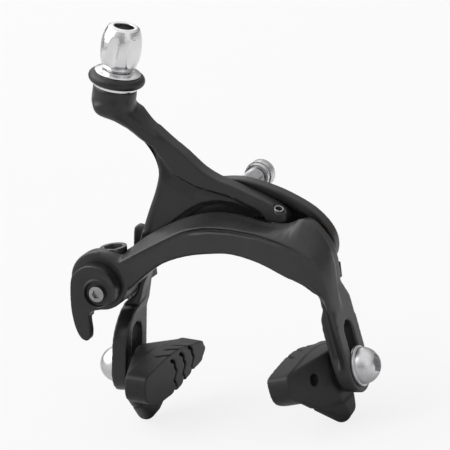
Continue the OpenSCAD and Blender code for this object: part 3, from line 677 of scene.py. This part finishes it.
def groovedShoe(side):
    # Lobed lower edge, wavy grooves that run on over the top, and the seam above the lobe
    bm = worn(copied(side + "_shoe"), shoeLook["cell"], shoeLook["rounds"])
    bm.normal_update()
    frameOf = shoeFrame(side)
    inverse = frameOf.inverted()
    face = shoeLook["face"]
    for vert in bm.verts:
        spot = inverse @ vert.co / mm
        out = inverse.to_3x3() @ vert.normal
        near = ramp(spot.x, *(face + depth for depth in shoeLook["nearFace"]))
        wave = shoeLook["wave"] * near * math.sin(spot.z * shoeLook["waveTurn"])
        spot.y += wave * ramp(spot.z, *shoeLook["waveTop"]) * ramp(spot.y, *shoeLook["waveFront"])
        for station in shoeLook["stations"]:
            low = ramp(spot.z, *shoeLook["notchLow"])
            spot.z += shoeLook["notch"] * near * low * bell(spot.y - station, shoeLook["notchWidth"])
            top = station - shoeLook["topShift"] - (spot.x - face) * shoeLook["topSlant"]
            if out.z > shoeLook["topFacing"] and spot.z > shoeLook["topFrom"]:
                fade = ramp(spot.x, *(face + depth for depth in shoeLook["topFade"]))
                spot -= out * (shoeLook["topGroove"] * bell(spot.y - top, shoeLook["topWidth"]) * fade)
        if spot.x > face + shoeLook["seamFrom"]:
            seam = shoeLook["seamPlace"] - shoeLook["seamSlant"] * (spot.x - face)
            spot -= out * (shoeLook["seam"] * bell(spot.z - seam, shoeLook["seamWidth"]))
        vert.co = frameOf @ (spot * mm)
    smoothed(bm, shoeLook["after"])
    skinned(bm, side + "ShoeSkin", [side + "_shoe"])


for side in ("right", "left"):
    groovedShoe(side)

# Fittings with their edges broken
edgeLook = {"angle": 32, "segments": 3, "profile": 0.5, "sharp": 30}
edgeWidth = {
    "mounting_nut": 0.25,
    "right_shoe_bolt": 0.15,
    "left_shoe_bolt": 0.15,
    "right_flange_washer": 0.22,
    "left_flange_washer": 0.22,
    "right_seat_washer": 0.15,
    "left_seat_washer": 0.15,
    "adjuster_nut": 0.12,
    "lever_screw": 0.15,
    "cable_anchor": 0.2,
    "centring_screw": 0.15,
    "lock_nut": 0.25,
    "side_pivot_bolt": 0.3,
    "right_spring_slider": 0.9,
}


def edged(name, width, finish=None):
    # Merged copy of a node with its sharp edges rounded
    bm = copied(name)
    least = math.radians(edgeLook["angle"])
    sharp = [e for e in bm.edges if len(e.link_faces) == 2 and e.calc_face_angle(0.0) > least]
    bmesh.ops.bevel(bm, geom=sharp, offset=width * mm, offset_type="OFFSET", segments=edgeLook["segments"],
                    profile=edgeLook["profile"], affect="EDGES", clamp_overlap=True, material=-1)
    words = name.split("_")
    pieceName = words[0] + "".join(w.capitalize() for w in words[1:]) + "Edged"
    skinned(bm, pieceName, [name], finish, edgeLook["sharp"])


otherFinish = {
    "right_shoe_bolt": "satin_chrome",
    "left_shoe_bolt": "satin_chrome",
    "mounting_nut": "satin_chrome",
    "right_flange_washer": "satin_chrome",
    "left_flange_washer": "satin_chrome",
    "cable_anchor": "dark_zinc",
}
for name, width in edgeWidth.items():
    edged(name, width, otherFinish.get(name))

# Mounting bolt with its thread
threadLook = {
    "from": 1.0,
    "tip": 19.6,
    "pitch": 1.0,
    "depth": 0.5,
    "step": 0.2,
    "fade": 0.6,
    "core": 2,
    "headFrom": -9,
    "headBack": 2.6,
    "sharp": 40,
}


def threadedBolt():
    # Turns a thread on the stud, and sets the head back under the filled hub
    bm = copied("mounting_bolt")
    at = threadLook["from"]
    while at < threadLook["tip"]:
        every = bm.verts[:] + bm.edges[:] + bm.faces[:]
        bmesh.ops.bisect_plane(bm, geom=every, plane_co=(0, at * mm, 0), plane_no=(0, 1, 0))
        at += threadLook["step"]
    for vert in bm.verts:
        back = vert.co.y / mm
        if back < threadLook["headFrom"]:
            vert.co.y += threadLook["headBack"] * mm
        around = math.atan2(vert.co.z, vert.co.x) / math.tau
        ends = ramp(back, threadLook["from"], threadLook["from"] + threadLook["fade"])
        ends *= ramp(back, threadLook["tip"], threadLook["tip"] - threadLook["fade"])
        turn = (back / threadLook["pitch"] + around) % 1.0
        cut = threadLook["depth"] * mm * ends * (0.5 + 0.5 * math.cos(math.tau * turn))
        radius = math.hypot(vert.co.x, vert.co.z)
        if radius > threadLook["core"] * mm:
            vert.co.x *= (radius - cut) / radius
            vert.co.z *= (radius - cut) / radius
    skinned(bm, "threadedBolt", ["mounting_bolt"], sharp=threadLook["sharp"])


threadedBolt()


# Stage
def addStage():
    recipe = Recipe("paleFloor")
    seen = recipe.make("ShaderNodeLightPath", out="Is Camera Ray")
    dust = recipe.noise(studio["dustScale"])
    shown = recipe.make("ShaderNodeLightPath", out="Is Glossy Ray") + seen
    floorTone = recipe.mixed(shown, studio["floorDark"], recipe.mixed(dust, *studio["floorTones"]))
    matt = recipe.make("ShaderNodeBsdfDiffuse", None, {"Color": floorTone, "Roughness": studio["floorRough"]})
    glow = recipe.make("ShaderNodeEmission", None, {"Color": (1, 1, 1, 1), "Strength": 1.0})
    share = recipe.between(seen, 0.0, studio["floorGlow"])
    both = recipe.make("ShaderNodeMixShader", None, {0: share, 1: matt, 2: glow})
    recipe.makeOutput("ShaderNodeOutputMaterial", both)
    bm = bmesh.new()
    bmesh.ops.create_grid(bm, x_segments=2, y_segments=2, size=studio["floorSize"],
                          matrix=Matrix.Translation((0, 0, studio["floorZ"])))
    mesh = bpy.data.meshes.new("studioFloor")
    bm.to_mesh(mesh)
    bm.free()
    floor = bpy.data.objects.new("studioFloor", mesh)
    bpy.context.scene.collection.objects.link(floor)
    floor.data.materials.append(recipe.material)


def addWorld():
    # A tall soft light above, with darker panels round the sides
    world = bpy.data.worlds.new("studioWorld")
    world.use_nodes = True
    bpy.context.scene.world = world
    recipe = Recipe("studioWorld", world.node_tree)
    here = recipe.make("ShaderNodeTexCoord", out="Generated")
    parts = [recipe.make("ShaderNodeSeparateXYZ", None, {"Vector": here}, i) for i in range(3)]
    height = parts[2] * 0.5 + 0.5
    plainSky = recipe.make("ShaderNodeValToRGB", {"stops": studio["sky"]}, {"Fac": height})
    glossSky = recipe.make("ShaderNodeValToRGB", {"stops": studio["glossSky"]}, {"Fac": height})
    bearing = parts[1].sum("ARCTAN2", parts[1], parts[0]) * studio["turnShare"] + 0.5
    panels = recipe.make("ShaderNodeValToRGB", {"stops": studio["flags"]}, {"Fac": bearing})
    glossy = recipe.make("ShaderNodeLightPath", out="Is Glossy Ray")
    sky = recipe.mixed(glossy, plainSky, glossSky)
    low = 1 - recipe.between(parts[2], 0.0, 1.0, *studio["flagHeight"])
    tone = recipe.mixed(glossy * low, (1, 1, 1), panels)
    seen = recipe.make("ShaderNodeLightPath", out="Is Camera Ray")
    shaded = recipe.mixed(1.0, sky, tone, "MULTIPLY")
    light = recipe.make("ShaderNodeBackground", None, {"Color": shaded, "Strength": 1.0})
    plain = recipe.make("ShaderNodeBackground", None, {"Color": (1, 1, 1, 1), "Strength": 1.0})
    both = recipe.make("ShaderNodeMixShader", None, {0: seen, 1: light, 2: plain})
    recipe.makeOutput("ShaderNodeOutputWorld", both)


addCamera()
addStage()
addWorld()
for name, lamp in lamps.items():
    addLamp(name, **lamp)
bpy.context.scene.view_settings.view_transform = "Standard"
print("stage and light set")
